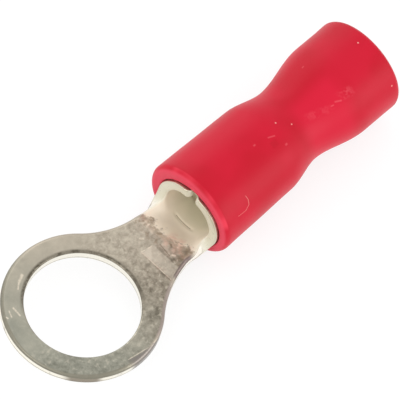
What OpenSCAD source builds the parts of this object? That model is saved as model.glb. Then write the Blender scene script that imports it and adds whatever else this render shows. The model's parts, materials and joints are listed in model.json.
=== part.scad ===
// Insulated ring terminal: a one-piece tinned copper stamping and a red PVC sleeve.
//
// The ring lies flat in XY. The origin is the centre of the stud hole on the ring's
// underside, +Z runs up the hole and +X runs from the ring to the wire entry.
// All lengths are in millimetres.

/* [Ring and neck] */
// Diameter of the stud hole
stud_bore = 5.3; // [4.3:0.1:6]
// Outside diameter of the ring
ring_diameter = 7.4; // [6.8:0.1:9]
// Thickness of the copper sheet
sheet = 0.5; // [0.4:0.05:0.6]
// Width of the neck at its narrowest
neck_width = 3.1; // [2.4:0.1:3.6]
// From the hole's centre to where the flat sheet starts to curl up
curl_start = 4.9; // [4.2:0.1:5.2]

/* [Wire barrel] */
// From the hole's centre to the barrel's front edge
barrel_front = 6.55; // [6.3:0.05:8]
// Bore of the rolled barrel
barrel_bore = 2.6; // [2.3:0.05:2.9]
// Length of the barrel
barrel_length = 5.2; // [4.5:0.1:6.5]
// Height of the barrel's axis over the ring's underside
barrel_rise = 1; // [0.7:0.05:1.4]
// Radius of the inner corner between the neck and the barrel's front edge
heel_radius = 0.6; // [0.4:0.05:0.9]
// Width of the butt seam along the top of the barrel
seam_gap = 0.3; // [0.1:0.05:0.5]
// Rounding of the lips' front corners, at the mouth of the seam
lip_round = 0.3; // [0.1:0.05:0.5]

/* [Grip grooves] */
// Number of grooves pressed round the inside of the barrel
groove_count = 3; // [1:1:4]
// Width of one groove
groove_width = 0.35; // [0.2:0.05:0.5]
// Depth of one groove
groove_depth = 0.08; // [0.05:0.01:0.15]
// Distance from one groove to the next
groove_pitch = 1.1; // [0.8:0.1:1.2]

/* [Sleeve over the barrel] */
// Wall of the sleeve where it grips the barrel
sleeve_wall = 0.56; // [0.5:0.01:0.8]
// Radial clearance between the barrel and its seat in the sleeve
seat_clearance = 0.02; // [0.01:0.01:0.05]
// How far the barrel's front edge stands out of the sleeve
barrel_proud = 0.12; // [0.05:0.01:0.4]
// Rounding of the sleeve's front edge
nose_radius = 0.32; // [0.1:0.02:0.4]
// How much the straight part narrows towards the waist, on the radius
sleeve_draft = 0.1; // [0:0.01:0.12]
// Chamfer at the front mouth of the barrel's seat
seat_chamfer = 0.1; // [0.05:0.01:0.2]

/* [Sleeve waist and bell] */
// Outside diameter at the waist
waist_diameter = 3.83; // [3.7:0.01:4.2]
// From the barrel's rear end to the middle of the waist
waist_setback = 1.45; // [1.2:0.05:2]
// Length of the outer shoulder that runs down to the waist
shoulder_length = 2; // [1.6:0.1:2.4]
// Length of the outer flare that runs up from the waist
flare_length = 2.8; // [2.6:0.1:3.8]
// Outside diameter of the bell at the wire entry
bell_diameter = 4.77; // [4.6:0.01:5.4]
// Length of the bell behind the flare
bell_length = 2.1; // [1.4:0.1:2.6]
// Wall of the bell
bell_wall = 0.5; // [0.4:0.02:0.6]
// Rounding of the bell's outer rim
rim_radius = 0.3; // [0.2:0.02:0.34]
// Rounding of the bell's inner rim
entry_radius = 0.15; // [0.05:0.01:0.18]

/* [Sleeve inside] */
// Axial clearance between the barrel's rear end and the stop in the sleeve
stop_clearance = 0.05; // [0.02:0.01:0.1]
// How much wider the throat is than the barrel's bore, on the radius
throat_ease = 0.2; // [0.17:0.01:0.25]
// Length of the funnel that leads the wire from the bell into the throat
funnel_length = 2.6; // [2.4:0.1:2.8]

/* [Hidden] */

$fn = 96;
// Overrun of a cutting tool past the face that it cuts
cut = 0.5;
// How far the curled web reaches into the flat tongue and into the barrel's wall
lap = 0.12;
// How far inside the sheet's faces the web is drawn, and its two ends that fuse
skin = 0.01;
lap_skin = 0.1;

// Stamping, outline of the flat blank
ring_r = ring_diameter / 2;
neck_half = neck_width / 2;
neck_end = barrel_front - heel_radius;
// The fillet that touches the ring and also the neck at its narrowest, at neck_end
neck_fillet = (neck_end * neck_end - ring_r * ring_r + neck_half * neck_half)
    / (2 * (ring_r - neck_half));
fillet_touch_y = ring_r * (neck_half + neck_fillet) / (ring_r + neck_fillet);

// Stamping, rolled barrel
bore_r = barrel_bore / 2;
barrel_r = bore_r + sheet;
mid_r = bore_r + sheet / 2;
barrel_end = barrel_front + barrel_length;
groove_run = (groove_count - 1) * groove_pitch;
groove_start = (barrel_length - groove_run - groove_width) / 2;

// Stamping, curled web between the flat neck and the barrel
web_points = 17;
web_flat_steps = 9;
web_heel_steps = 8;

// Sleeve, radii
seat_r = barrel_r + seat_clearance;
nose_r = seat_r + sleeve_wall;
shoulder_r = nose_r - sleeve_draft;
waist_r = waist_diameter / 2;
bell_r = bell_diameter / 2;
entry_r = bell_r - bell_wall;
throat_r = bore_r + throat_ease;

// Sleeve, places along X
sleeve_front = barrel_front + barrel_proud;
stop_x = barrel_end + stop_clearance;
waist_x = barrel_end + waist_setback;
shoulder_x = waist_x - shoulder_length;
bell_x = waist_x + flare_length;
sleeve_rear = bell_x + bell_length;
funnel_x = waist_x + funnel_length;
// Steps along each curved stretch of the sleeve's section
curve_steps = 14;
edge_steps = 6;

// 0 to 1 with a level start and a level end
function ease(t) = t * t * (3 - 2 * t);
// From a to b along such a curve
function swell(a, b, t) = a + (b - a) * ease(t);
// Quarter round from angle a0, about the point [r, x] of a section
function quarter(r, x, radius, a0) =
    [for (i = [0 : edge_steps])
        let (a = a0 + 90 * i / edge_steps)
        [r + radius * cos(a), x + radius * sin(a)]];
// Curved stretch of a section from [r0, x0] to [r1, x1], without its first point
function stretch(r0, x0, r1, x1) =
    [for (i = [1 : curve_steps])
        let (t = i / curve_steps)
        [swell(r0, r1, t), x0 + (x1 - x0) * t]];

// Half width of the blank where the neck's side runs in the ring fillet
function fillet_half(x) =
    neck_half + neck_fillet - sqrt(neck_fillet * neck_fillet - pow(neck_end - x, 2));

// Share of the full curl at a place along the web
function curl(x) = ease(min(1, max(0, (x - curl_start) / (barrel_front - curl_start))));

// One cross-section of the web: a strip of half width w, bent to an arc about the
// X direction. The arc's bottom sinks from the ring's level to the barrel's.
function web_section(x, w, inset = skin) =
    let (
        bend = max(curl(x), 0.001) / mid_r,
        base = sheet / 2 + (barrel_rise - mid_r - sheet / 2) * curl(x),
        half = sheet / 2 - inset,
        side = w - inset,
        angles = [for (i = [0 : web_points - 1])
            side * (2 * i / (web_points - 1) - 1) * bend * 180 / PI]
    )
    concat(
        [for (a = angles)
            [x, (1 / bend + half) * sin(a), base + 1 / bend - (1 / bend + half) * cos(a)]],
        [for (i = [web_points - 1 : -1 : 0])
            let (a = angles[i])
            [x, (1 / bend - half) * sin(a), base + 1 / bend - (1 / bend - half) * cos(a)]]
    );

// The sections from the tongue to the barrel. Those of the heel follow its round
// corner in equal angles, because the blank widens fast there.
web_sections = concat(
    [web_section(curl_start - lap, fillet_half(curl_start), lap_skin)],
    [for (i = [0 : web_flat_steps])
        let (x = curl_start + (neck_end - curl_start) * i / web_flat_steps)
        web_section(x, fillet_half(x))],
    [for (i = [1 : web_heel_steps])
        let (a = 90 * i / web_heel_steps)
        web_section(neck_end + heel_radius * sin(a), neck_half + heel_radius * (1 - cos(a)))],
    [web_section(barrel_front + lap, neck_half + heel_radius, lap_skin)]
);

// Solid skinned over strips of sheet. Each section lists its strip's lower points from
// one edge to the other, and then as many upper points on the way back.
module loft(sections) {
    n = len(sections[0]);
    last = (len(sections) - 1) * n;
    polyhedron(
        points = [for (s = sections) for (p = s) p],
        faces = concat(
            [for (i = [0 : n / 2 - 2]) [i, i + 1, n - 2 - i]],
            [for (i = [0 : n / 2 - 2]) [i, n - 2 - i, n - 1 - i]],
            [for (i = [0 : n / 2 - 2]) [last + i, last + n - 2 - i, last + i + 1]],
            [for (i = [0 : n / 2 - 2]) [last + i, last + n - 1 - i, last + n - 2 - i]],
            [for (k = [0 : len(sections) - 2]) for (i = [0 : n - 1])
                [k * n + i, (k + 1) * n + (i + 1) % n, k * n + (i + 1) % n]],
            [for (k = [0 : len(sections) - 2]) for (i = [0 : n - 1])
                [k * n + i, (k + 1) * n + i, (k + 1) * n + (i + 1) % n]]
        )
    );
}

// Flat ring with the stud hole, and the neck as far as the sheet stays flat
module tongue() {
    linear_extrude(sheet)
        difference() {
            union() {
                circle(r = ring_r);
                difference() {
                    translate([0, -fillet_touch_y])
                        square([curl_start, 2 * fillet_touch_y]);
                    for (side = [-1, 1])
                        translate([neck_end, side * (neck_half + neck_fillet)])
                            circle(r = neck_fillet);
                }
            }
            circle(d = stud_bore);
        }
}

// Outline of the butt seam seen from above: a slot whose mouth widens round the two
// lips' front corners
module seam_outline() {
    mouth = seam_gap / 2 + lip_round;
    translate([-cut, -seam_gap / 2])
        square([barrel_length + 2 * cut, seam_gap]);
    difference() {
        translate([-cut, -mouth])
            square([cut + lip_round, 2 * mouth]);
        for (side = [-1, 1])
            translate([lip_round, side * mouth])
                circle(r = lip_round);
    }
}

// Tube rolled from the sheet, open along its butt seam, with grip grooves inside
module barrel() {
    translate([barrel_front, 0, barrel_rise])
        rotate([0, 90, 0])
            difference() {
                cylinder(h = barrel_length, r = barrel_r);
                translate([0, 0, -cut])
                    cylinder(h = barrel_length + 2 * cut, r = bore_r);
                for (i = [0 : groove_count - 1])
                    translate([0, 0, groove_start + i * groove_pitch])
                        cylinder(h = groove_width, r = bore_r + groove_depth);
                rotate([0, -90, 0])
                    linear_extrude(barrel_r + cut)
                        seam_outline();
            }
}

// The stamping: one piece of tinned copper sheet, blanked, curled and rolled
module copper_terminal() {
    color([0.72, 0.7, 0.64])
        union() {
            tongue();
            loft(web_sections);
            barrel();
        }
}

// Half section of the sleeve as [radius, x], from the seat's mouth round the outside
// to the wire entry, and back through the funnel, the throat and the stop
sleeve_section = concat(
    [[seat_r + seat_chamfer, sleeve_front]],
    [for (p = quarter(nose_r - nose_radius, sleeve_front + nose_radius, nose_radius, -90)) p],
    [[shoulder_r, shoulder_x]],
    stretch(shoulder_r, shoulder_x, waist_r, waist_x),
    stretch(waist_r, waist_x, bell_r, bell_x),
    quarter(bell_r - rim_radius, sleeve_rear - rim_radius, rim_radius, 0),
    quarter(entry_r + entry_radius, sleeve_rear - entry_radius, entry_radius, 90),
    [[entry_r, funnel_x]],
    stretch(entry_r, funnel_x, throat_r, waist_x),
    [[throat_r, stop_x], [seat_r, stop_x], [seat_r, sleeve_front + seat_chamfer]]
);

// The moulded sleeve: it grips the barrel, and its waist and bell lead the wire in
module insulating_sleeve() {
    color([0.86, 0.17, 0.25])
        translate([0, 0, barrel_rise])
            rotate([0, 90, 0])
                rotate_extrude()
                    polygon(sleeve_section);
}

copper_terminal();
insulating_sleeve();
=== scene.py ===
# %% [markdown]
# # An insulated ring terminal
# This is the small fitting that a screw clamps to join a wire to a panel. It has two
# pieces. One is a stamping of tinned copper: a flat ring, a neck, and a barrel that is
# rolled round the bare end of the wire. The other is a red plastic sleeve pushed over
# the barrel. The solid part gives the main sizes, and this script gives the two pieces
# the look of the real ones: stamped edges, mottled tin and soft moulded plastic.

# %% Load the solid part
import json
import math

import bpy
import numpy as np
from mathutils import Matrix, Vector
from mathutils.geometry import delaunay_2d_cdt


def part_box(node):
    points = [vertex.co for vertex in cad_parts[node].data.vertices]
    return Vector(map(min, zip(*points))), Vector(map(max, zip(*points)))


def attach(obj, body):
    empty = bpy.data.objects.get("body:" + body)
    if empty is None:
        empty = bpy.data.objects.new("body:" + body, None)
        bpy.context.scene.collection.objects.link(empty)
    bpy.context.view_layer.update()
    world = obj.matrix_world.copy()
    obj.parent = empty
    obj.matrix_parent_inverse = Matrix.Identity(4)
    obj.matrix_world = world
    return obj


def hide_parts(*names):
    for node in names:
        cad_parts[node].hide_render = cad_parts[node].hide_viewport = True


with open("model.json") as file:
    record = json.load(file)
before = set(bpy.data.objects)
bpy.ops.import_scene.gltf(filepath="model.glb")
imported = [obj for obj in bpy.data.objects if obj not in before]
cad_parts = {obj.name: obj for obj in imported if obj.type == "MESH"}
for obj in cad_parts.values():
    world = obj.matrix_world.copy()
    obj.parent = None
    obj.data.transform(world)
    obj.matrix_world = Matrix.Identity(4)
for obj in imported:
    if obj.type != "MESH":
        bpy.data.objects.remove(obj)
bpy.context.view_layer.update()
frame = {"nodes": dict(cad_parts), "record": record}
print("nodes:", sorted(frame["nodes"]))

# %% [markdown]
# ## Sizes
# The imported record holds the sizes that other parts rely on: the stud hole, the sheet,
# the barrel's bore and the wire entry. The boxes of the two solids give the rest of the
# large sizes. Lengths here are in millimetres, because the part is only 22 mm long, and
# they become metres when a mesh is made.

# %% Read the large sizes
MM = 0.001
mounts = {m["name"]: m for m in frame["record"]["mounts"]}
copper_low, copper_high = (np.array(c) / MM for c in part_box("copper_terminal"))
sleeve_low, sleeve_high = (np.array(c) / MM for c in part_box("insulating_sleeve"))

hole_r = mounts["stud_hole"]["dims"]["r_mm"]
sheet = mounts["stud_hole"]["dims"]["length_mm"]
bore_r = mounts["wire_barrel"]["dims"]["r_mm"]
barrel_length = mounts["wire_barrel"]["dims"]["length_mm"]
entry_r = mounts["wire_entry"]["dims"]["r_mm"]
axis_z = mounts["wire_barrel"]["pos_m"][2] / MM
half = sheet / 2
mid_r = bore_r + half
ring_r = -copper_low[0]
barrel_end = copper_high[0]
barrel_front = barrel_end - barrel_length
sleeve_front, sleeve_rear = sleeve_low[0], sleeve_high[0]
bell_r = sleeve_high[1]
print(f"ring radius {ring_r:.2f}, barrel {barrel_front:.2f} to {barrel_end:.2f}, "
      f"sleeve {sleeve_front:.2f} to {sleeve_rear:.2f}, axis at {axis_z:.2f}")

# %% [markdown]
# ## The flat blank
# A press cuts the stamping from a strip before it bends it, so the model does the same.
# It starts as a flat outline: the ring's arc, a long hollow fillet into the neck, a
# short round heel, and a wide tab that will become the barrel. Each stretch is an arc
# or a line that leaves where the last one ended, in the same direction, so the outline
# has no kink. The two halves differ only in the round of the heel, which is larger on
# the left, where the width is positive. Drawing it flat is easier than modelling the
# bent shape, and the sheet keeps its true width.

# %% Arcs and lines
def arc(centre, radius, start, end, step):
    """Points on a circle: centre plus radius times (cosine, sine) of an even run of angles."""
    count = max(3, round(abs(math.radians(end - start)) * radius / step))
    angle = np.radians(np.linspace(start, end, count + 1))
    return np.array(centre) + radius * np.column_stack([np.cos(angle), np.sin(angle)])


def line(start, end, step):
    """Even points on a straight line: start plus a share of the way to end."""
    count = max(2, round(math.dist(start, end) / step))
    share = np.linspace(0, 1, count + 1)[:, None]
    return np.array(start) * (1 - share) + np.array(end) * share


print("a quarter of the stud hole in steps of 1 mm:", len(arc((0, 0), hole_r, 0, 90, 1)), "points")

# %% Outline of the blank
NECK_HALF = 1.55
HEEL_LEFT, HEEL_RIGHT = 1.1, 0.6
SEAM_GAP = 0.3
LIP_CORNER, TAIL_CORNER = 0.3, 0.2
FINE_STEP, COARSE_STEP = 0.06, 0.1

seam_half = mid_r * (math.pi - SEAM_GAP / 2 / mid_r)


def half_outline(heel_r):
    """The blank's edge at positive widths, from the ring's tip to the barrel's tail."""
    neck_end = barrel_front - heel_r
    neck_fillet = (neck_end**2 - ring_r**2 + NECK_HALF**2) / (2 * (ring_r - NECK_HALF))
    fillet_centre = (neck_end, NECK_HALF + neck_fillet)
    touch = math.degrees(math.atan2(fillet_centre[1], fillet_centre[0]))
    heel_centre = (neck_end, NECK_HALF + heel_r)
    lip = (barrel_front + LIP_CORNER, seam_half - LIP_CORNER)
    tail = (barrel_end - TAIL_CORNER, seam_half - TAIL_CORNER)
    runs = [
        arc((0, 0), ring_r, 180, touch, FINE_STEP),
        arc(fillet_centre, neck_fillet, touch - 180, -90, FINE_STEP),
        arc(heel_centre, heel_r, -90, 0, FINE_STEP),
        line((barrel_front, heel_centre[1]), (barrel_front, lip[1]), FINE_STEP),
        arc(lip, LIP_CORNER, 180, 90, FINE_STEP / 2),
        line((lip[0], seam_half), (tail[0], seam_half), COARSE_STEP),
        arc(tail, TAIL_CORNER, 90, 0, FINE_STEP / 2),
        line((barrel_end, tail[1]), (barrel_end, 0), COARSE_STEP),
    ]
    return np.vstack([runs[0]] + [run[1:] for run in runs[1:]])


left_edge = half_outline(HEEL_LEFT)
right_edge = half_outline(HEEL_RIGHT)[-2:0:-1] * [1, -1]
blank_edge = np.vstack([left_edge, right_edge])
hole_edge = arc((0, 0), hole_r, 0, 360, FINE_STEP)[:-1]
print(f"blank: {len(blank_edge)} points round the edge, {len(hole_edge)} round the hole, "
      f"{2 * seam_half:.2f} mm wide at the barrel")

# %% [markdown]
# ## The sheet's edge
# A punched edge isn't square. The metal is pulled down round the top as the punch
# enters, and it tears off almost sharp underneath. That section is a profile: how far
# in from the outline a point lies, and how high it is in the sheet. The profile is
# carried along the outline, square to it, which gives the whole side wall as one grid.
# A bevel would round top and bottom alike, and a profile needn't.

# %% Profile of the punched edge
BURR_ROUND = 0.035
ROLL_STEPS, BURR_STEPS = 6, 3


def edge_profile(roll):
    """Two quarter rounds and the wall between: inset and height of each point, and wall share."""
    top = np.radians(np.linspace(90, 180, ROLL_STEPS + 1))
    low = np.radians(np.linspace(180, 270, BURR_STEPS + 1))
    roll = roll[:, None]
    inset = np.hstack([roll * (1 + np.cos(top)), BURR_ROUND * (1 + np.cos(low)) + 0 * roll, roll])
    height = np.hstack([half - roll * (1 - np.sin(top)),
                        BURR_ROUND * (1 + np.sin(low)) - half + 0 * roll, 0 * roll - half])
    return inset, height, np.concatenate([-np.cos(top), -np.cos(low), [0]])


def carry_profile(edge, roll):
    """Each edge point moves inward, along the right-hand normal of its path, by each inset."""
    along = np.roll(edge, -1, axis=0) - np.roll(edge, 1, axis=0)
    along /= np.linalg.norm(along, axis=1)[:, None]
    inward = np.column_stack([along[:, 1], -along[:, 0]])
    inset, height, wall = edge_profile(roll)
    grid = np.dstack([edge[:, None, :] + inset[:, :, None] * inward[:, None, :], height])
    return grid, np.broadcast_to(wall, height.shape), inward


print("heights in a section with a roll of 0.2:", np.round(edge_profile(np.array([0.2]))[1][0], 2))

# %% [markdown]
# The pull is strong round the ring and neck. It is weak at the barrel, in the hole and
# on one side of the ring's tip, where the punch was sharper. So the radius of the roll
# is a number of its own at each point of the outline.

# %% Carry the profile round both outlines
EDGE_ROLL, HOLE_ROLL = 0.2, 0.1
BARREL_LESS, TIP_LESS = 0.13, 0.1
TIP_SPOT, TIP_REACH = (-3.5, -0.9), 1.6


def ease(t):
    """0 below 0, 1 above 1, and 3t^2 - 2t^3 between, level at both ends."""
    t = np.clip(t, 0, 1)
    return t * t * (3 - 2 * t)


tip_side = np.exp(-((blank_edge - TIP_SPOT) ** 2).sum(1) / TIP_REACH**2)
barrel_side = ease((blank_edge[:, 0] - 5) / 1.3)
outer_roll = EDGE_ROLL - BARREL_LESS * barrel_side - TIP_LESS * tip_side
hole_roll = np.full(len(hole_edge), HOLE_ROLL)
outer_grid, outer_wall, outer_inward = carry_profile(blank_edge, outer_roll)
hole_grid, hole_wall, _ = carry_profile(hole_edge, hole_roll)
print("edge grids:", outer_grid.shape, hole_grid.shape)

# %% [markdown]
# ## The faces of the sheet
# Between the edges the sheet is filled with a lattice of points in near equal triangles.
# The lattice is finer on the ring and neck, which carry small dents, than on the barrel.
# A point is kept if it lies far enough inside: its nearest edge point is found, and the
# offset from it is measured along the inward normal.

# %% Lattice between the edges
FINE_PITCH, COARSE_PITCH = 0.075, 0.11
FINE_PAST_FRONT = 0.9
MARGIN = 0.04


def lattice(x0, x1, reach, pitch):
    """Rows of points a pitch apart, every other row shifted by half a pitch."""
    rows = np.arange(-reach, reach, pitch * math.sqrt(3) / 2)
    columns = np.arange(x0, x1, pitch)
    x, s = np.meshgrid(columns, rows)
    x = x + (np.arange(len(rows)) % 2)[:, None] * pitch / 2
    return np.column_stack([x.ravel(), s.ravel()])


def depth_inside(points, edge, inward, roll):
    """Distance inside the rolled edge, along the inward normal at the nearest edge point."""
    squares = (points**2).sum(1)[:, None] + (edge**2).sum(1)[None, :]
    nearest = (squares - 2 * points @ edge.T).argmin(1)
    return ((points - edge[nearest]) * inward[nearest]).sum(1) - roll[nearest]


fine_end = barrel_front + FINE_PAST_FRONT
fill = np.vstack([lattice(-ring_r, fine_end, seam_half, FINE_PITCH),
                  lattice(fine_end, barrel_end, seam_half, COARSE_PITCH)])
fill = fill[(depth_inside(fill, blank_edge, outer_inward, outer_roll) > MARGIN)
            & (np.hypot(fill[:, 0], fill[:, 1]) > hole_r + HOLE_ROLL + MARGIN)]
print(f"lattice: {len(fill)} points")

# %% [markdown]
# A Delaunay triangulation joins the lattice to the edges, because it makes the most
# even triangles that the points allow. It fills the hole too, so the triangles with all
# three corners on the hole's edge are dropped. The same triangles, turned over, make
# the underside.

# %% Triangles between the edges
INSIDE_ONLY = 1
TOLERANCE = 1e-6


def joined(loops, inner):
    """Triangles between two closed loops and loose points, without those that span the hole."""
    starts = np.cumsum([0] + [len(loop) for loop in loops])
    numbers = [np.arange(a, b) for a, b in zip(starts, starts[1:])]
    edges = np.vstack([np.column_stack([run, np.roll(run, -1)]) for run in numbers])
    points = np.vstack(loops + [inner])
    result = delaunay_2d_cdt(points.tolist(), edges.tolist(), [], INSIDE_ONLY, TOLERANCE)
    source = np.array([ids[0] for ids in result[3]])
    triangles = source[np.array(result[2])]
    in_hole = ((triangles >= starts[1]) & (triangles < starts[2])).all(1)
    return triangles[~in_hole]


face_triangles = joined([outer_grid[:, 0, :2], hole_grid[:, 0, :2]], fill)
print(f"faces of the sheet: {len(face_triangles)} triangles a side")

# %% [markdown]
# ## Marks left by the press
# Tin-plated stampings are never perfectly flat. The tool that holds the neck leaves a
# shallow step with straight sides, the curling tool leaves a crease across the trough,
# and small knocks leave soft dents. These are heights added to the upper face, a few
# hundredths of a millimetre, and they fade to nothing through the thickness. The grip
# grooves that hold the wire are pressed into the same face, so they are made here too.

# %% Tool marks and grip grooves
STEP_DEPTH, LINE_DEPTH, CREASE_DEPTH = 0.016, 0.012, 0.035
GROOVE_PITCH, GROOVE_WIDTH, GROOVE_DEPTH, GROOVE_SOFT = 1.1, 0.35, 0.08, 0.05
groove_x = barrel_front + barrel_length / 2 + GROOVE_PITCH * np.array([-1, 0, 1])


def within(value, low, high, soft):
    """1 between two limits, easing to 0 over a soft border outside them."""
    return ease((value - low) / soft + 1) * ease((high - value) / soft + 1)


def hump(distance, width):
    """1 at distance 0, falling off as e to the minus (distance / width) squared."""
    return np.exp(-(distance / width) ** 2)


def tool_marks(x, s):
    """A step bounded by two straight sides, a shorter line beside it, and the trough's crease."""
    step = within(x, 3.92, 5.2, 0.16) * within(s, -2.4, 0, 0.16) * (1 - ease((x - 4.7) / 0.5))
    line_mark = hump(x - 4.8 - 0.15 * s, 0.04) * within(s, -0.9, -0.2, 0.15)
    crease = hump(x - 6.74 + 0.04 * s, 0.06) * within(s, -0.3, 0.8, 0.3)
    return -STEP_DEPTH * step - LINE_DEPTH * line_mark - CREASE_DEPTH * crease


def grip_grooves(x):
    """Shallow channels right across the barrel's inside, one at each groove place."""
    reach = GROOVE_WIDTH / 2 - GROOVE_SOFT
    channel = within(x[:, None], groove_x - reach, groove_x + reach, GROOVE_SOFT)
    return -GROOVE_DEPTH * channel.max(1)


print("grooves at x", np.round(groove_x, 2).tolist())

# %% Dents
DENTS, DENT_DEPTH = 150, 0.0045


def dents(x, s):
    """Soft round knocks: a sum of bell curves at seeded places over the ring and neck."""
    rng = np.random.default_rng(7)
    centre = rng.uniform([-3.6, -3.6], [5.2, 3.6], (DENTS, 2))
    radius = rng.uniform(0.12, 0.34, DENTS)
    depth = rng.normal(0, DENT_DEPTH, DENTS)
    near = ((x[:, None] - centre[:, 0]) ** 2 + (s[:, None] - centre[:, 1]) ** 2) / radius**2
    return (depth * np.exp(-near)).sum(1)


def upper_relief(x, s):
    """Everything that the press leaves on the upper face, in millimetres of height."""
    return tool_marks(x, s) + dents(x, s) + grip_grooves(x)


relief = upper_relief(*fill.T)
print(f"relief from {relief.min():.3f} to {relief.max():.3f} mm")

# %% [markdown]
# ## Curling the blank
# Along the web the sheet bends from flat to a full circle. The middle of the trough
# starts to bend first, and the sheet's edges follow later, so the web's shoulders stay
# rather flat until close to the barrel. A point s across the sheet has turned through an
# angle, and its place is the sum of the small steps that lead there from the middle, so
# the sheet never stretches. The arc's lowest line sinks from the ring's level to the
# barrel's. One formula carries every point of the flat blank, with its height through
# the sheet, to its bent place. A Simple Deform modifier can roll a sheet too, but it
# rolls every section alike. Here the roll grows from the neck to the barrel, and the
# edges come later than the middle.

# %% Bend from flat sheet to barrel
CURL_START, EDGE_LAG, LAG_WIDTH = 5.0, 1.3, 2.2
LAG_PLACE = 0.6
SIDEWAYS = -0.1
GAUSS_POINTS = 10
steps, weights = np.polynomial.legendre.leggauss(GAUSS_POINTS)
steps, weights = (steps + 1) / 2, weights / 2


def curl_share(x, s):
    """How far the curl has come: 0 at its start, which lags towards the edges, 1 at the barrel."""
    begin = CURL_START + EDGE_LAG * ease(np.abs(s) / LAG_WIDTH)
    return ease((x - begin) / (barrel_front - begin))


def turned(x, s):
    """Angle of the sheet at s: s / radius times the share of the curl part of the way to s."""
    return s / mid_r * curl_share(x, LAG_PLACE * s)


def curled(x, s, n):
    """With angle a(s): y = sum of cos a ds - n sin a; z = level + sum of sin a ds + n cos a."""
    level = half + (axis_z - mid_r - half) * curl_share(x, 0)
    across = s * sum(w * np.cos(turned(x, s * t)) for t, w in zip(steps, weights))
    raised = s * sum(w * np.sin(turned(x, s * t)) for t, w in zip(steps, weights))
    angle = turned(x, s)
    y = across - n * np.sin(angle) + SIDEWAYS * curl_share(x, 0)
    return np.column_stack([x, y, level + raised + n * np.cos(angle)])


lip = curled(np.array([barrel_front]), np.array([seam_half]), np.array([0.0]))[0]
print("left lip of the seam at", np.round(lip, 2).tolist())

# %% [markdown]
# The two lips at the butt seam spring a little inward at their front corners, the left
# one more than the right. The barrel also sits a tenth of a millimetre to one side, as
# the soft sleeve allows, and SIDEWAYS above did that.

# %% Spring of the lips
DROOP_LEFT, DROOP_RIGHT = 0.12, 0.05
DROOP_WIDTH, DROOP_LENGTH = 0.9, 1.3


def droop(x, s):
    """Inward give of each lip: strongest at its front corner, and gone a short way from it."""
    across = ease((np.abs(s) - seam_half + DROOP_WIDTH) / DROOP_WIDTH)
    along = ease((barrel_front + DROOP_LENGTH - x) / DROOP_LENGTH)
    return np.where(s > 0, DROOP_LEFT, DROOP_RIGHT) * across * along


front_corners = droop(np.full(2, barrel_front), np.array([seam_half, -seam_half]))
print("spring of the left and right lip:", np.round(front_corners, 2).tolist())

# %% [markdown]
# ## From arrays to a mesh
# One helper makes every piece. It takes corner places and rows of corner numbers, and
# writes them straight into the mesh, which is much quicker than adding faces one by
# one. It also prints the volume inside, worked out from the faces, because a positive
# volume shows that the faces look outward.

# %% Make a piece
def triangulated(faces):
    """Every face as triangles that fan out from its first corner."""
    return np.vstack([np.stack([f[:, 0], f[:, k], f[:, k + 1]], axis=1)
                      for f in faces for k in range(1, f.shape[1] - 1)])


def new_piece(name, points, faces):
    """Points in mm and arrays of faces, each of one corner count, become a smooth mesh in m."""
    mesh = bpy.data.meshes.new(name)
    corners = np.concatenate([f.ravel() for f in faces]).astype(np.int32)
    sizes = np.concatenate([np.full(len(f), f.shape[1]) for f in faces])
    mesh.vertices.add(len(points))
    mesh.vertices.foreach_set("co", (points * MM).astype(np.float32).ravel())
    mesh.loops.add(len(corners))
    mesh.loops.foreach_set("vertex_index", corners)
    mesh.polygons.add(len(sizes))
    mesh.polygons.foreach_set("loop_start", (np.cumsum(sizes) - sizes).astype(np.int32))
    mesh.polygons.foreach_set("use_smooth", np.ones(len(sizes), bool))
    mesh.update(calc_edges=True)
    mesh.validate()
    piece = bpy.data.objects.new(name, mesh)
    bpy.context.scene.collection.objects.link(piece)
    a, b, c = (points[triangulated(faces)[:, k]] for k in range(3))
    volume = (np.cross(a, b) * c).sum() / 6
    print(f"{name}: {len(points)} points, {len(sizes)} faces, {volume:.2f} cubic mm inside")
    return piece


def add_value(piece, name, values):
    """A number or a vector at every point of the mesh, for the material to read."""
    kind, field = ("FLOAT", "value") if values.ndim == 1 else ("FLOAT_VECTOR", "vector")
    attribute = piece.data.attributes.new(name, kind, "POINT")
    attribute.data.foreach_set(field, values.astype(np.float32).ravel())


# %% [markdown]
# ## The stamping
# All the parts meet here: the two edge grids, the upper and lower lattice, and the
# triangles between them. The corners of each part are numbered one after another, so
# the first number of each part is the sum of the counts before it.

# %% Number the corners and faces
columns = outer_grid.shape[1]
outer_count, hole_count = len(outer_grid) * columns, len(hole_grid) * columns
first_top = outer_count + hole_count
first_low = first_top + len(fill)


def grid_faces(rows, columns, first, closed=False):
    """Four-cornered faces of a grid whose rows, and columns if closed, run into a ring."""
    i, k = np.meshgrid(np.arange(rows), np.arange(columns if closed else columns - 1),
                       indexing="ij")
    j, m = (i + 1) % rows, (k + 1) % columns
    corners = [i * columns + k, j * columns + k, j * columns + m, i * columns + m]
    return np.stack([c.ravel() for c in corners], axis=1) + first


loop_top = np.concatenate([np.arange(len(outer_grid)) * columns,
                           outer_count + np.arange(len(hole_grid)) * columns])
top_number = np.concatenate([loop_top, first_top + np.arange(len(fill))])
low_number = np.concatenate([loop_top + columns - 1, first_low + np.arange(len(fill))])
stamping_faces = [
    grid_faces(len(outer_grid), columns, 0),
    grid_faces(len(hole_grid), columns, outer_count),
    top_number[face_triangles],
    low_number[face_triangles][:, ::-1]]
print("stamping faces:", [len(f) for f in stamping_faces])

# %% [markdown]
# The flat places are kept with the mesh as the value "flat", so that the mottle of the
# tin lies on the sheet and bends with it, and the wall share is kept as "edge", because
# a punched edge is brighter than the face, partly as a painted highlight.

# %% Build the stamping
flat_points = np.vstack([
    outer_grid.reshape(-1, 3), hole_grid.reshape(-1, 3),
    np.column_stack([fill, np.full(len(fill), half)]),
    np.column_stack([fill, np.full(len(fill), -half)])])
edge_share = np.concatenate([outer_wall.ravel(), hole_wall.ravel(), np.zeros(2 * len(fill))])

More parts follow.
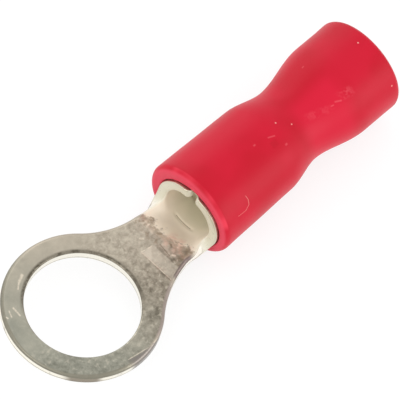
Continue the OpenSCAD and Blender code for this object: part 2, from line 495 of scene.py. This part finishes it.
fx, fs, fn = flat_points.T
height = fn + upper_relief(fx, fs) * (0.5 + fn / sheet) + droop(fx, fs)
stamping = new_piece("tinned_stamping", curled(fx, fs, height), stamping_faces)
add_value(stamping, "flat", flat_points)
add_value(stamping, "edge", edge_share)

# %% [markdown]
# ## The sleeve
# The sleeve is a moulded tube, so it is one closed section carried round the barrel's
# axis. Outside it has a rounded nose, a slightly tapered body, a waist and a bell.
# Inside it has the seat that grips the barrel, a stop, the throat and the funnel. The
# section is written as runs, as the blank's outline was, and the last number of each
# run is the distance between its points. A Screw modifier could turn the section round
# too, but then the slow waves of soft plastic would need another step. The walls and
# lengths are the solid's own, and only the seat's chamfer is smaller.

# %% Sizes of the sleeve
SLEEVE_WALL, SLEEVE_DRAFT = 0.56, 0.1
SEAT_CLEARANCE, SEAT_CHAMFER, STOP_CLEARANCE, THROAT_EASE = 0.02, 0.04, 0.05, 0.2
NOSE_RADIUS, RIM_RADIUS, ENTRY_RADIUS, WAIST_RADIUS = 0.32, 0.3, 0.15, 1.915
WAIST_SETBACK, SHOULDER_LENGTH, FLARE_LENGTH, FUNNEL_LENGTH = 1.45, 2.0, 2.8, 2.6

seat_r = mid_r + half + SEAT_CLEARANCE
nose_r = seat_r + SLEEVE_WALL
shoulder_r = nose_r - SLEEVE_DRAFT
throat_r = bore_r + THROAT_EASE
stop_x = barrel_end + STOP_CLEARANCE
waist_x = barrel_end + WAIST_SETBACK
shoulder_x = waist_x - SHOULDER_LENGTH
bell_x = waist_x + FLARE_LENGTH
funnel_x = waist_x + FUNNEL_LENGTH
print(f"seat radius {seat_r:.2f}, nose radius {nose_r:.2f}, waist at x {waist_x:.1f}")

# %% Section of the sleeve
OUTSIDE_RUNS = (2, 3, 4, 5)


def swell(x0, r0, x1, r1, step):
    """Radius eases from r0 to r1 while x runs evenly, as (x, radius) rows."""
    share = np.linspace(0, 1, max(2, round(abs(x1 - x0) / step)) + 1)
    return np.column_stack([x0 + (x1 - x0) * share, r0 + (r1 - r0) * ease(share)])


def sleeve_section():
    """Closed section as (x, radius): round the nose, along the outside, and back inside."""
    nose = (sleeve_front + NOSE_RADIUS, nose_r - NOSE_RADIUS)
    rim = (sleeve_rear - RIM_RADIUS, bell_r - RIM_RADIUS)
    mouth = (sleeve_rear - ENTRY_RADIUS, entry_r + ENTRY_RADIUS)
    chamfer = [(sleeve_front + SEAT_CHAMFER, seat_r), (sleeve_front, seat_r + SEAT_CHAMFER)]
    runs = [
        line(chamfer[1], (sleeve_front, nose[1]), 0.05),
        arc(nose, NOSE_RADIUS, 180, 90, 0.04),
        line((nose[0], nose_r), (shoulder_x, shoulder_r), 0.12),
        swell(shoulder_x, shoulder_r, waist_x, WAIST_RADIUS, 0.1),
        swell(waist_x, WAIST_RADIUS, bell_x, bell_r, 0.1),
        line((bell_x, bell_r), (rim[0], bell_r), 0.12),
        arc(rim, RIM_RADIUS, 90, 0, 0.04),
        line((sleeve_rear, rim[1]), (sleeve_rear, mouth[1]), 0.05),
        arc(mouth, ENTRY_RADIUS, 0, -90, 0.03),
        line((mouth[0], entry_r), (funnel_x, entry_r), 0.12),
        swell(funnel_x, entry_r, waist_x, throat_r, 0.12),
        line((waist_x, throat_r), (stop_x, throat_r), 0.15),
        line((stop_x, throat_r), (stop_x, seat_r), 0.08),
        line((stop_x, seat_r), chamfer[0], 0.15),
        line(*chamfer, 0.03),
    ]
    outside = [np.full(len(run) - 1, float(k in OUTSIDE_RUNS)) for k, run in enumerate(runs)]
    return np.vstack([run[:-1] for run in runs]), np.concatenate(outside)


section, outside = sleeve_section()
print(f"sleeve section: {len(section)} points, {int(outside.sum())} of them outside")

# %% [markdown]
# Soft plastic is never quite round, so the outside gives way by up to a hundredth or
# two of a millimetre in slow waves, always inward, so the sleeve stays in its true
# size. The seat follows the barrel to its side, and the rest stays on the axis.

# %% Carry the section round the axis
SLEEVE_STEPS = 160
WAVE_DEPTH = 0.016
CALM_ENDS, CALM_SOFT = 1, 0.6


def slow_waves(x, turn):
    """Between 0 and 1: two broad waves along and round the sleeve, out of step."""
    return 0.5 + 0.3 * np.sin(0.9 * x + 2 * turn) + 0.2 * np.sin(2.3 * x - 3 * turn + 1.7)


def seat_share(x, radius):
    """1 on the seat, easing to 0 across the front face and down the stop, and 0 elsewhere."""
    face_top = nose_r - NOSE_RADIUS
    face = ease((face_top - radius) / (face_top - seat_r - SEAT_CHAMFER))
    return face * ease((radius - throat_r) / (seat_r - throat_r)) * (x < stop_x + 0.01)


turn = np.arange(SLEEVE_STEPS) * 2 * math.pi / SLEEVE_STEPS
along = np.broadcast_to(section[:, 0], (SLEEVE_STEPS, len(section)))
around = np.broadcast_to(turn[:, None], along.shape)
calm_front, calm_rear = sleeve_front + CALM_ENDS, sleeve_rear - CALM_ENDS
body = outside * within(section[:, 0], calm_front, calm_rear, CALM_SOFT)
radius = section[:, 1] - WAVE_DEPTH * body * slow_waves(along, around)
aside = SIDEWAYS * seat_share(section[:, 0], section[:, 1])
sleeve_points = np.stack([along, aside - radius * np.sin(around),
                          axis_z + radius * np.cos(around)], axis=2)
sleeve = new_piece("red_sleeve", sleeve_points.reshape(-1, 3),
                   [grid_faces(SLEEVE_STEPS, len(section), 0, closed=True)])

# %% [markdown]
# ## Writing shaders as sums
# A finish is a network of nodes, and most of them only add, multiply or compare. One
# small class wraps a node's output, so that a sum in Python adds the Math nodes for it.
# Every other node comes from its node method, which first applies the settings and then
# fills the sockets with values or links.

# %% Shader helper
def set_stops(ramp, stops):
    """Replaces a ramp's stops with (place, colour) pairs."""
    while len(ramp.elements) < len(stops):
        ramp.elements.new(1)
    for element, (place, colour) in zip(ramp.elements, stops):
        element.position, element.color = place, colour


class Signal:
    """One output of a shader node, ready for arithmetic with numbers and other outputs."""

    def __init__(self, tree, socket=None):
        self.tree, self.socket = tree, socket

    def node(self, kind, settings=None, sockets=None, output=0):
        """Adds a node of a kind, applies its settings, fills its sockets, and wraps one output."""
        made = self.tree.nodes.new("ShaderNode" + kind)
        for name, value in (settings or {}).items():
            if name == "stops":
                set_stops(made.color_ramp, value)
            else:
                setattr(made, name, value)
        for name, value in (sockets or {}).items():
            if isinstance(value, Signal):
                self.tree.links.new(value.socket, made.inputs[name])
            else:
                made.inputs[name].default_value = value
        return Signal(self.tree, made.outputs[output] if made.outputs else None)

    def math(self, operation, *values, clamp=False):
        """A Math node on these values, in their order."""
        settings = {"operation": operation, "use_clamp": clamp}
        return self.node("Math", settings, dict(enumerate(values)))

    def __add__(self, other): return self.math("ADD", self, other)
    def __radd__(self, other): return self.math("ADD", other, self)
    def __sub__(self, other): return self.math("SUBTRACT", self, other)
    def __rsub__(self, other): return self.math("SUBTRACT", other, self)
    def __mul__(self, other): return self.math("MULTIPLY", self, other)
    def __rmul__(self, other): return self.math("MULTIPLY", other, self)
    def __abs__(self): return self.math("ABSOLUTE", self)

    def rise(self, low, high):
        """0 below low, 1 above high, and an even ease between; low may be the larger."""
        return self.node("MapRange", {"interpolation_type": "SMOOTHSTEP"},
                         {"Value": self, "From Min": low, "From Max": high})

    def band(self, low, high, soft):
        """1 between two limits, with soft borders."""
        return self.rise(low - soft, low) * self.rise(high + soft, high)

    def blend(self, low, high):
        """Colour low where this is 0, colour high where it is 1."""
        return self.node("Mix", {"data_type": "RGBA"}, {0: self, 6: low, 7: high}, 2)


# %% [markdown]
# Colours are written as they look on a screen, from 0 to 255, and turned into the
# linear light that the shader needs. The rest are the few steps that both finishes use.

# %% Colours, noise and materials
def shade(red, green, blue):
    """A colour as it looks on a screen, turned into linear light."""
    srgb = np.array([red, green, blue]) / 255
    linear = np.where(srgb <= 0.04045, srgb / 12.92, ((srgb + 0.055) / 1.055) ** 2.4)
    return (*linear.tolist(), 1)


def noise(where, scale, detail, roughness=0.55, distortion=0.0):
    """Cloudy values round 0.5 that change over about 1 / scale millimetres."""
    return where.node("TexNoise", None, {"Vector": where, "Scale": scale, "Detail": detail,
                                         "Roughness": roughness, "Distortion": distortion})


def ramp(value, *stops):
    """A colour read off between (place, colour) pairs."""
    return value.node("ValToRGB", {"stops": stops}, {0: value})


def greatest(signals):
    """The greatest of several signals at each point."""
    total = signals[0]
    for signal in signals[1:]:
        total = total.math("MAXIMUM", total, signal)
    return total


def new_finish(name):
    """An empty material, with a signal to build it from."""
    material = bpy.data.materials.new(name)
    material.use_nodes = True
    material.node_tree.nodes.clear()
    return material, Signal(material.node_tree)


def finish_surface(start, sockets):
    """Ends a material in a Principled surface with these socket values."""
    surface = start.node("BsdfPrincipled", None, sockets)
    start.node("OutputMaterial", None, {"Surface": surface})


def layer_done(material, layer):
    """Prints how large the material's network is with this layer in it."""
    print(f"{material.name} with {layer}: {len(material.node_tree.nodes)} nodes")


print("middle grey of a screen in linear light:", np.round(shade(128, 128, 128), 3).tolist())

# %% [markdown]
# ## Tinned copper
# Hot tin freezes on the copper in a soft mottle of light and dark grains. A finish like
# this has no one formula, so it is built in layers, from the broad tones to the single
# marks. Every layer is a mask between 0 and 1 that blends one more colour over what
# lies below it. The masks are written in the places of the flat blank: x along it, s
# across it and n through it. Three noises, from broad to fine, give them ragged borders.

# %% Tin: places and noises
VECTOR_OUTPUT, FACTOR_OUTPUT = 1, 2

tin, start = new_finish("tinned_copper")
flat = start.node("Attribute", {"attribute_name": "flat"}, None, VECTOR_OUTPUT)
edge = start.node("Attribute", {"attribute_name": "edge"}, None, FACTOR_OUTPUT)
x, s, n = (start.node("SeparateXYZ", None, {0: flat}, k) for k in range(3))
broad = noise(flat, 0.8, 2.0)
soft = noise(flat, 2.2, 4.0, 0.55, 0.2)
fine = noise(flat, 6.0, 3.0, 0.6, 0.3)
from_hole = start.math("SQRT", x * x + s * s) - hole_r
past_hole = from_hole.rise(0.25, 0.45)
upper_face = n.rise(0.1, 0.24)
layer_done(tin, "its places and noises")

# %% [markdown]
# The mottle is weak on the ring's far side, which stayed calm, and strong on the neck,
# where the press has squeezed it. The trough and the barrel have been rubbed smooth by
# the curling tool, with a ragged border towards the neck, and they are duller.

# %% Tin: where the finish changes
squeezed = (x + (broad - 0.5) * 2).rise(1.4, 3.2)
calm = (s * 1.4 - x * 0.5 + (broad - 0.5) * 3).rise(0.6, 2.6)
dull = (x + (soft - 0.5) * 1.5).rise(4.7, 5.3)
bare = (x + s * 0.1 + (soft - 0.5) * 1.8 + (fine - 0.5) * 0.8).rise(5.25, 5.65)
rubbed = bare * upper_face
mottle = (0.6 + 0.15 * squeezed - 0.45 * calm) * (1 - rubbed)
layer_done(tin, "the masks of its zones")

# %% [markdown]
# One tone runs from dark to light over the sheet. It is read off twice, from a cool and
# a warm range of greys, because tin is greenish where it is thick, at the tip, and
# warmer where the copper shines through, at the neck. Pale flecks lie on top.

# %% Tin: broad tones
TONE_STOPS = 0.1, 0.5, 0.9


def greys(value, *tints):
    """A range of tints from dark to light, read off by a value."""
    return ramp(value, *zip(TONE_STOPS, (shade(*tint) for tint in tints)))


near_side = s.rise(0.2, -1.2) * (0.1 + x.rise(0.5, 2) * 0.15)
tone = 0.57 + (soft - 0.5) * mottle * 1.2 + (fine - 0.5) * mottle * 1.2 + (broad - 0.5) * 0.3
tone = tone + s.rise(1.5, 3.2) * x.rise(-2, 1) * 0.05 - near_side
cool = greys(tone, (108, 108, 96), (154, 153, 140), (190, 187, 170))
warm = greys(tone, (122, 113, 99), (174, 164, 148), (206, 197, 179))
face = (x + s * 0.4 + (broad - 0.5) * 3).rise(-3.5, 4.0).blend(cool, warm)
flecks = noise(flat, 4.4, 2.0).rise(0.58, 0.68) * mottle
face = (flecks * 0.6).blend(face, shade(204, 196, 178))
layer_done(tin, "its broad tones")

# %% [markdown]
# The single marks come next: the bright rectangle that the press left on the neck, with a
# painted highlight in its corner, a dark rim on the hole's far side, and scratches.
# Painted shade darkens the tool line and the crease, and pale lines of painted highlight
# run along two edges of the pressed step and along the ring's lower right edge. A scratch
# is a thin straight stroke with a start, an end and a width, which is a mask as well. The
# pale ones are worn through here and there by the fine noise.

# %% Tin: single marks
# Painted shade: dark lines in the tool groove on the neck and in the trough's crease.
PAINTED_SHADE_LINES = [((4.79, -0.18), (4.68, -0.9), 0.03), ((6.72, 0.8), (6.75, -0.25), 0.03)]
# Scratches, and painted highlights: the first two run along the pressed step's edges, the last
# along the ring's lower right edge.
SCRATCH_AND_HIGHLIGHT_LINES = [((3.87, 0.1), (3.85, -1.9), 0.035), ((3.87, 0.1), (4.42, 0.0), 0.04),
              ((-0.95, 2.88), (-1.3, 2.72), 0.1), ((-1.25, 2.76), (-1.6, 2.5), 0.06),
              ((-2.45, 1.97), (-2.5, 1.5), 0.06), ((-2.7, 1.99), (-2.83, 1.7), 0.045),
              ((-3.06, 2.0), (-3.0, 1.76), 0.05), ((4.3, 0.62), (4.42, 0.52), 0.07),
              ((4.8, -0.95), (4.86, -1.05), 0.07), ((-0.5, -3.33), (0.6, -3.5), 0.03)]


def stroke(x, s, start, end, width):
    """1 on a thin straight stroke from start to end and 0 beside it, with soft borders."""
    length = math.dist(start, end)
    ux, us = ((b - a) / length for a, b in zip(start, end))
    dx, ds = x - start[0], s - start[1]
    along, beside = dx * ux + ds * us, abs(dx * us - ds * ux)
    return along.band(0, length, width) * beside.rise(width, width * 0.3)


def strokes(x, s, places):
    """The greatest of a list of strokes."""
    return greatest([stroke(x, s, *place) for place in places])


pressed = x.band(3.9, 4.5, 0.06) * s.band(-1.8, 0.0, 0.06)
# Painted highlight: the pressed step's corner is lighter.
pressed_corner_highlight = (x - s).rise(4.5, 4.35)
face = (pressed * (0.4 + 0.4 * pressed_corner_highlight)).blend(face, shade(214, 203, 186))
rim_side = (x * 0.8 + s).rise(-0.8, 1.2) * from_hole.band(0, 0.09, 0.13)
rim_ragged = 0.55 + noise(flat, 2.2, 3.0, 0.7).rise(0.4, 0.6) * 0.4
face = (rim_side * rim_ragged).blend(face, shade(90, 84, 72))
# Painted shade in the tool groove and the crease.
face = (strokes(x, s, PAINTED_SHADE_LINES) * 0.6).blend(face, shade(112, 100, 84))
worn = 0.45 + 0.4 * fine.rise(0.4, 0.55)
# Pale scratches, with lines of painted highlight along the pressed step and the ring's edge.
face = (strokes(x, s, SCRATCH_AND_HIGHLIGHT_LINES) * worn).blend(face, shade(224, 213, 194))
layer_done(tin, f"{len(PAINTED_SHADE_LINES) + len(SCRATCH_AND_HIGHLIGHT_LINES)} scratches and the pressed mark")

# %% [markdown]
# The rubbed trough is pale at its start and a little greener in the barrel. A dull
# surface scatters light where bright metal mirrors the red sleeve, so its colour is
# written paler than the tin's. Where it begins, some stains are left, with a faint pink
# patch beside them, and painted shade darkens the crease across it.

# %% Tin: the rubbed trough and barrel
face = (dull * 0.2).blend(face, shade(238, 210, 184))
beside_mark = 1 - s.band(-1.0, -0.2, 0.3)
stains = noise(flat, 3.5, 3.0, 0.6).rise(0.5, 0.62) * x.band(4.8, 5.6, 0.4) * beside_mark
face = (stains * 0.5).blend(face, shade(140, 120, 98))
deep = (x - s * s * 0.15 + (broad - 0.5)).rise(6.1, 7.6)
trough = deep.blend(shade(250, 237, 218), shade(226, 221, 194))
face = rubbed.blend(face, trough)
# Painted shade: the crease is darkened again over the rubbed trough.
crease = stroke(x, s, *PAINTED_SHADE_LINES[1])
face = (crease * 0.6).blend(face, shade(120, 108, 88))
# A faint pink patch near the trough's start.
pink_zone = x.band(5.1, 5.7, 0.5) * s.band(-1.2, -0.3, 0.5)
pink_patch = noise(flat, 2.2, 3.0).rise(0.35, 0.65) * pink_zone
pink_tint = rubbed.blend(shade(206, 160, 142), shade(222, 168, 148))
face = (pink_patch * 0.5).blend(face, pink_tint)
layer_done(tin, "the rubbed trough")

# %% [markdown]
# The rolled edge is smooth and grey, with darker stretches along the neck. On one side
# of the ring a short sickle of painted shade stands for an edge turned down a little further.

# %% Tin: the rolled edge
near_edge = s.rise(0, -1)
rolled = x.rise(-1.5, 1.0).blend(shade(138, 134, 120), shade(176, 166, 150))
rolled = (x.band(1.6, 3.4, 0.6) * near_edge).blend(rolled, shade(160, 147, 139))
rolled = (x.band(4.2, 5.3, 0.3) * near_edge).blend(rolled, shade(120, 106, 102))
rolled = rubbed.blend(rolled, shade(238, 232, 214))
colour = (edge.rise(0.1, 0.35) * past_hole * (0.6 + fine * 0.6)).blend(face, rolled)
# Painted shade: a dark sickle on the ring's lower right edge, for an edge turned down further.
spiral = from_hole + hole_r - x * 0.17 + (fine - 0.5) * 0.15
painted_roll_shade = spiral.rise(3.42, 3.5) * x.band(-0.3, 1.6, 0.4) * s.rise(-2.4, -3.0)
layer_done(tin, "the rolled edge")

# %% [markdown]
# The wall below the rolled edge was sheared by the punch, so it is bright, with a few
# stains; its near-white colour is also a painted highlight. A fine line runs along it where
# the cut ended and the metal tore.

# %% Tin: the sheared wall
smudge = noise(flat, 0.9, 3.0, 0.6).rise(0.58, 0.66) * 0.6
tip_stain = x.band(-2.95, -2.2, 0.35) * s.rise(-1.6, -2.2)
stained = greatest([tip_stain, smudge]) * past_hole
# Near white: the bright sheared metal, and also a painted highlight for the walls' white glints.
wall = stained.blend(shade(248, 244, 232), shade(160, 151, 137))
wall = x.rise(6.0, 6.5).blend(wall, shade(216, 210, 188))
tear = abs(n + 0.17 + (fine - 0.5) * 0.06).rise(0.035, 0.015) * x.rise(6.3, 6.0)
wall = (tear * 0.7).blend(wall, shade(146, 140, 128))
# Near the shoulders the wall colour reaches further up, a painted highlight.
depth = half - n - 0.07 - past_hole * 0.1 + x.rise(5.0, 6.2) * 0.12
colour = (edge.rise(0.3, 0.6) * depth.rise(-0.02, 0.03)).blend(colour, wall)
# Painted shade on the sickle of the rolled edge.
colour = (painted_roll_shade * 0.9).blend(colour, shade(134, 127, 122))
layer_done(tin, "the sheared wall")

# %% [markdown]
# The same masks drive the gloss. The grains are rougher than the tin between them and
# stand a little higher, and the dull trough is hardly metallic.

# %% Tin: gloss and grain
GRAIN_STRENGTH, GRAIN_HEIGHT = 0.9, 0.02
edge_gloss = x.rise(-1, -2) * 0.25 - 0.06
rough = 0.36 + (fine - 0.5) * mottle * 0.3 + rubbed * 0.12 + edge * edge_gloss
metallic = 1 - dull * n.rise(-0.24, -0.1) * 0.9
height = soft * mottle + fine * mottle * 0.5 + noise(flat, 20.0, 2.0) * mottle * 0.1
bump = start.node("Bump", None, {"Strength": GRAIN_STRENGTH, "Distance": GRAIN_HEIGHT * MM,
                                 "Height": height})
finish_surface(start, {"Base Color": colour, "Metallic": metallic, "Roughness": rough,
                       "Normal": bump})
stamping.data.materials.append(tin)
layer_done(tin, "its gloss and grain")

# %% [markdown]
# ## Red plastic
# The sleeve is soft vinyl, coloured right through. Its surface is smooth with a dull
# sheen, and the red is cloudy: a shade deeper here and there, with a painted highlight
# that makes one flank of the flare lighter. Nothing bends, so the object's own
# coordinates will do, in millimetres.
# Marks lie at x and at w, the length round the sleeve from its top line, as if its skin
# were unrolled.

# %% Vinyl: places and base colour
SKIN_RADIUS = 2.3
OBJECT_OUTPUT = 3

vinyl, start = new_finish("red_pvc")
where = start.node("VectorMath", {"operation": "SCALE"},
                   {0: start.node("TexCoord", None, None, OBJECT_OUTPUT), "Scale": 1 / MM})
x, y, z = (start.node("SeparateXYZ", None, {0: where}, k) for k in range(3))
w = start.math("ARCTAN2", -1 * y, z - axis_z) * SKIN_RADIUS
cloud = noise(where, 0.4, 2.0, 0.5)
grain = noise(where, 9.0, 3.0, 0.5)
blotch = noise(where, 3.2, 2.0, 0.5)
colour = cloud.rise(0.35, 0.65).blend(shade(194, 10, 38), shade(204, 16, 46))
# Painted highlight: one flank of the flare and waist is lighter.
painted_flare_highlight = x.band(13.2, 14.8, 0.9) * w.rise(-0.5, 0.5)
colour = (painted_flare_highlight * 0.8).blend(colour, shade(214, 22, 54))
layer_done(vinyl, "its cloudy red")

# %% [markdown]
# Handling has left a darker dimple near the waist, two rubbed patches on the flare and
# a few short rubs. A brighter line round the nose is a painted highlight. The front face
# is paler, partly as a painted highlight and partly because the cut is rougher than the
# moulded skin.

# %% Vinyl: rubbed places and painted highlights
RUBS = [((10.98, 0.52), (11.28, 0.64), 0.05), ((11.47, 1.29), (11.53, 1.29), 0.07),
        ((10.18, 0.38), (10.24, 0.38), 0.06), ((14.75, 1.28), (15.0, 1.4), 0.06),
        ((14.5, 1.34), (14.6, 1.36), 0.05), ((14.87, -1.12), (14.93, -1.12), 0.05)]

dimple = x.band(10.9, 11.15, 0.12) * w.band(0.8, 1.0, 0.1)
colour = (dimple * 0.5).blend(colour, shade(184, 8, 34))
rear_patch = x.band(15.25, 15.5, 0.35) * (w - (x - 15) * 0.2).band(1.1, 1.25, 0.25) * 0.5
front_patch = x.band(13.5, 14.2, 0.5) * (w - (x - 14) * 0.35).band(1.2, 1.35, 0.25) * 0.25
scuffed = (rear_patch + front_patch) * (blotch * 0.6 + grain * 0.4).rise(0.42, 0.62)
colour = scuffed.blend(colour, shade(228, 84, 98))
colour = (strokes(x, w, RUBS) * 0.3).blend(colour, shade(238, 112, 120))
# Painted highlight: a brighter line round the nose.
painted_nose_highlight = x.band(sleeve_front + 0.06, sleeve_front + 0.2, 0.08) * w.band(-1.2, 2.4, 0.4)
colour = (painted_nose_highlight * cloud.rise(0.3, 0.5) * 0.8).blend(colour, shade(234, 64, 84))
# The front face is paler, partly a painted highlight and partly the rougher cut.
front = x.rise(sleeve_front + 0.12, sleeve_front + 0.02)
colour = (front * 0.7).blend(colour, shade(228, 76, 96))
layer_done(vinyl, "its rubbed places")

# %% [markdown]
# The last marks are pale and sharp: four specks of dust and one hair-thin scratch that
# bends in a hook, drawn as four strokes end to end.

# %% Vinyl: specks, the hair scratch and the surface
SPECKS = [(11.79, 0.21), (12.41, 0.75), (17.45, -0.1), (17.6, 2.45)]
SPECK_SIZE = 0.05
HAIR = [((8.38, 1.88), (8.42, 2.1), 0.016), ((8.42, 2.1), (8.36, 2.35), 0.02),
        ((8.36, 2.35), (8.1, 2.5), 0.018), ((8.1, 2.5), (7.62, 2.47), 0.013)]
SKIN_STRENGTH, SKIN_HEIGHT, SKIN_SHEEN = 0.6, 0.01, 0.2


def speck(x, w, place, size):
    """1 in a small round spot."""
    dx, dw = x - place[0], w - place[1]
    return (dx * dx + dw * dw).rise(size**2, size**2 * 0.2)


dust = [speck(x, w, place, SPECK_SIZE) * 0.8 for place in SPECKS]
pale = greatest([strokes(x, w, HAIR) * 0.55] + dust)
colour = (pale * x.rise(6.9, 7.1)).blend(colour, shade(242, 168, 160))
rough = 0.4 + (grain - 0.5) * 0.1 + scuffed * 0.15 + front * 0.1
height = grain * 0.4 + blotch * scuffed * 2 - dimple * 0.5 + pale * 0.5
bump = start.node("Bump", None, {"Strength": SKIN_STRENGTH, "Distance": SKIN_HEIGHT * MM,
                                 "Height": height})
finish_surface(start, {"Base Color": colour, "Roughness": rough,
                       "Specular IOR Level": SKIN_SHEEN, "Normal": bump})
sleeve.data.materials.append(vinyl)
layer_done(vinyl, f"{len(SPECKS)} specks and the hair scratch")

# %% [markdown]
# ## Attach the pieces
# Nothing moves on a terminal, so both pieces ride on the one body, root, and the solid
# under each piece is hidden.

# %% Attach the pieces
for piece, node, slot in ((stamping, "copper_terminal", "tinned_copper"),
                          (sleeve, "insulating_sleeve", "red_pvc")):
    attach(piece, "root")
    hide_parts(node)
    print(piece.name, "stands for", node)

# %% [markdown]
# ## Stage
# The terminal lies on a plain pale floor that the sleeve's bell touches. To a camera,
# and in a reflection, floor and background are plain white, and the floor still
# darkens where the part shades it. So what they see is a floor that glows and reflects
# only a little. The light that colours the part meets a plain pale floor instead. The
# floor is one open face, so its printed volume means nothing.

# %% Floor
FLOOR_REACH = 400
FLOOR_GLOW, FLOOR_SHADE, FLOOR_PALE = 0.8, 0.24, 0.85


def seen_directly(start):
    """1 for camera, mirror and glass rays, and 0 for the rays that carry diffuse light."""
    camera_ray, glossy_ray, glass_ray = (start.node("LightPath", None, None, f"Is {kind} Ray")
                                         for kind in ("Camera", "Glossy", "Transmission"))
    return start.math("ADD", camera_ray + glossy_ray, glass_ray, clamp=True)


def grey(value):
    """A grey of this much linear light."""
    return (value, value, value, 1)


corner_xy = np.array([[-1, -1], [1, -1], [1, 1], [-1, 1]]) * FLOOR_REACH
floor = new_piece("floor", np.column_stack([corner_xy, np.full(4, axis_z - bell_r)]),
                  [np.array([[0, 1, 2, 3]])])
pale_floor, start = new_finish("pale_floor")
lit = start.node("BsdfDiffuse", None, {"Color": grey(FLOOR_PALE)})
shown = start.node("AddShader", None, {
    0: start.node("Emission", None, {"Color": grey(1), "Strength": FLOOR_GLOW}),
    1: start.node("BsdfDiffuse", None, {"Color": grey(FLOOR_SHADE)})})
floor_look = start.node("MixShader", None, {0: seen_directly(start), 1: lit, 2: shown})
start.node("OutputMaterial", None, {"Surface": floor_look})
floor.data.materials.append(pale_floor)

# %% [markdown]
# ## Light
# The light is soft: an even sky, and broad panels that give the plastic its sheen. The
# front panel lights the nose and the ring, and a smaller one in front of it makes a
# tighter glint. The side panel draws a long highlight on the sleeve, and the back panel
# keeps the far outline from going dark.

# %% Sky
SKY, BACKGROUND = 0.9, 1.0

world = bpy.data.worlds.new("studio")
bpy.context.scene.world = world
world.use_nodes = True
world.node_tree.nodes.clear()
start = Signal(world.node_tree)
sky, background = (start.node("Background", None, {"Color": grey(1), "Strength": strength})
                   for strength in (SKY, BACKGROUND))
start.node("OutputWorld", None, {"Surface": start.node(
    "MixShader", None, {0: seen_directly(start), 1: sky, 2: background})})
print(f"sky {SKY}, background {BACKGROUND}")

# %% Soft panels
PANEL_TARGET = Vector((7, 0, 0))
PANEL_DISTANCE = 120


def towards(azimuth, elevation):
    """Unit vector from the part: azimuth turns it from the front, elevation lifts it."""
    return Vector((math.sin(azimuth) * math.cos(elevation),
                   -math.cos(azimuth) * math.cos(elevation), math.sin(elevation)))


def panel(name, azimuth, elevation, size, radiance):
    """A square lamp that faces the part's middle. Watts are radiance times pi times area."""
    back = towards(math.radians(azimuth), math.radians(elevation))
    light = bpy.data.lights.new(name, "AREA")
    light.size = size * MM
    light.energy = radiance * math.pi * (size * MM) ** 2
    lamp = bpy.data.objects.new(name, light)
    bpy.context.scene.collection.objects.link(lamp)
    place = Matrix.Translation(PANEL_TARGET * MM + back * PANEL_DISTANCE * MM)
    lamp.matrix_world = place @ back.to_track_quat("Z", "Y").to_matrix().to_4x4()
    print(f"{name}: {light.energy * 1000:.1f} milliwatts")


panel("front_panel", -95, 30, 90, 1.4)
panel("glint_panel", -108, 24, 24, 1.5)
panel("side_panel", 25, 12, 90, 1.8)
panel("back_panel", 165, 30, 90, 0.8)

# %% [markdown]
# ## Camera
# A long lens from far away keeps parallel edges parallel, as in a catalogue picture. It
# looks down at the ring from in front, turned so that the part climbs to the right.

# %% Camera
LENS, SENSOR = 1600, 36
VIEW_WIDTH = 17.81
AZIMUTH, ELEVATION, ROLL = -58.2, 59.7, 13.95
AIM_RIGHT, AIM_UP = 5.27, 4.89

azimuth, elevation, roll = (math.radians(angle) for angle in (AZIMUTH, ELEVATION, ROLL))
back = towards(azimuth, elevation)
level_right = Vector((math.cos(azimuth), math.sin(azimuth), 0))
level_up = back.cross(level_right)
right = level_right * math.cos(roll) + level_up * math.sin(roll)
up = back.cross(right)
aim = right * AIM_RIGHT + up * AIM_UP

camera_data = bpy.data.cameras.new("camera")
camera_data.lens, camera_data.sensor_width = LENS, SENSOR
camera = bpy.data.objects.new("camera", camera_data)
bpy.context.scene.collection.objects.link(camera)
stand = (aim + back * VIEW_WIDTH * LENS / SENSOR) * MM
camera.matrix_world = Matrix.Translation(stand) @ Matrix((right, up, back)).transposed().to_4x4()
bpy.context.scene.camera = camera
bpy.context.scene.view_settings.view_transform = "Standard"
print(f"camera {stand.length / MM:.0f} mm away")
